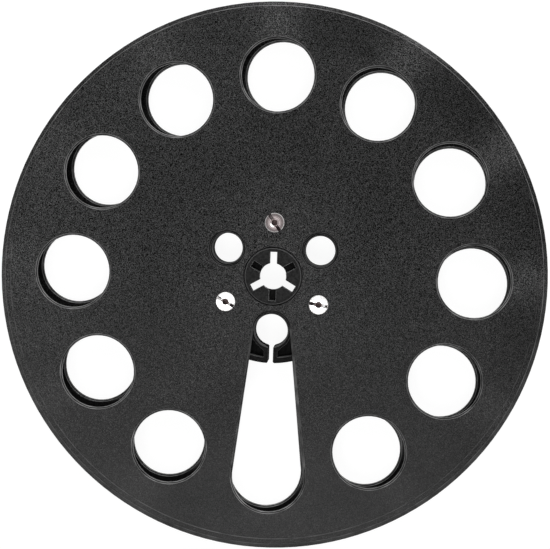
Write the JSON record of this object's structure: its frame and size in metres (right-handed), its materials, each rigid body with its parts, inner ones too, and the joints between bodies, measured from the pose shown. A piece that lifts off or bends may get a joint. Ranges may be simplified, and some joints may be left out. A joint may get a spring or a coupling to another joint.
{
  "type": "audio tape reel",
  "caption": "Empty reel for quarter inch audio tape: pierced black metal flanges with a threading window, screwed to a moulded hub with a slotted spindle hole.",
  "frame": {"origin": "on the spindle axis, in the plane under the heads of the rear screws, which is the lowest plane of the reel", "axes": "+Z along the spindle axis towards the front of the reel; the threading window points to -Y"},
  "size_m": [0.178, 0.178, 0.0148],
  "materials": {
    "anodised_flange": "satin",
    "moulded_hub": "matte",
    "bright_metal": "satin"
  },
  "bodies": {
    "root": {"front_flange": "anodised_flange", "rear_flange": "anodised_flange", "hub": "moulded_hub", "sleeve_nut_top": "bright_metal", "sleeve_nut_left": "bright_metal", "sleeve_nut_right": "bright_metal", "screw_top": "bright_metal", "screw_left": "bright_metal", "screw_right": "bright_metal"}
  },
  "joints": []
}
